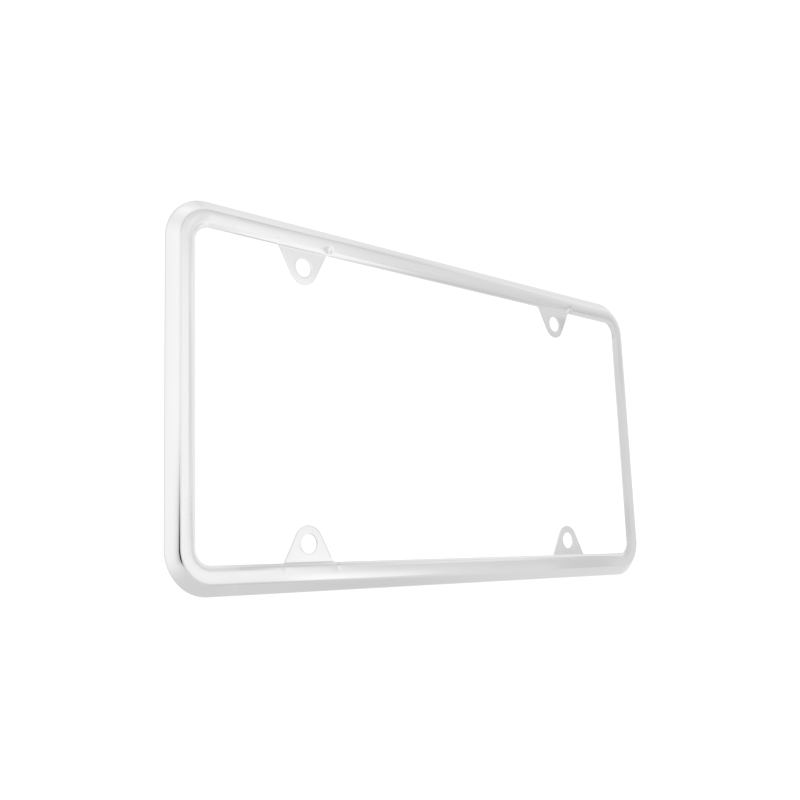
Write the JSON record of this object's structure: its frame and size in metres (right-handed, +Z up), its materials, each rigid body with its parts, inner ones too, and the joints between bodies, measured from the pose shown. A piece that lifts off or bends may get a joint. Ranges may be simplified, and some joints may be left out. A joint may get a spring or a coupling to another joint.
{
  "type": "number plate holder",
  "caption": "Slim rectangular stamped frame with a sloped flange, crowned face, rolled inner edge and pierced screw tabs that holds a number plate on a vehicle.",
  "frame": {"origin": "centre of the screw hole pattern, on the plane of the backs of the tabs", "axes": "+X along the plate, +Z up, -Y out of the front face towards the viewer, +Y towards the vehicle"},
  "size_m": [0.3124, 0.0046, 0.1604],
  "materials": {
    "chrome": "bright plated, lightly polished stamping"
  },
  "bodies": {
    "root": {"plate_frame": "chrome"}
  },
  "joints": []
}
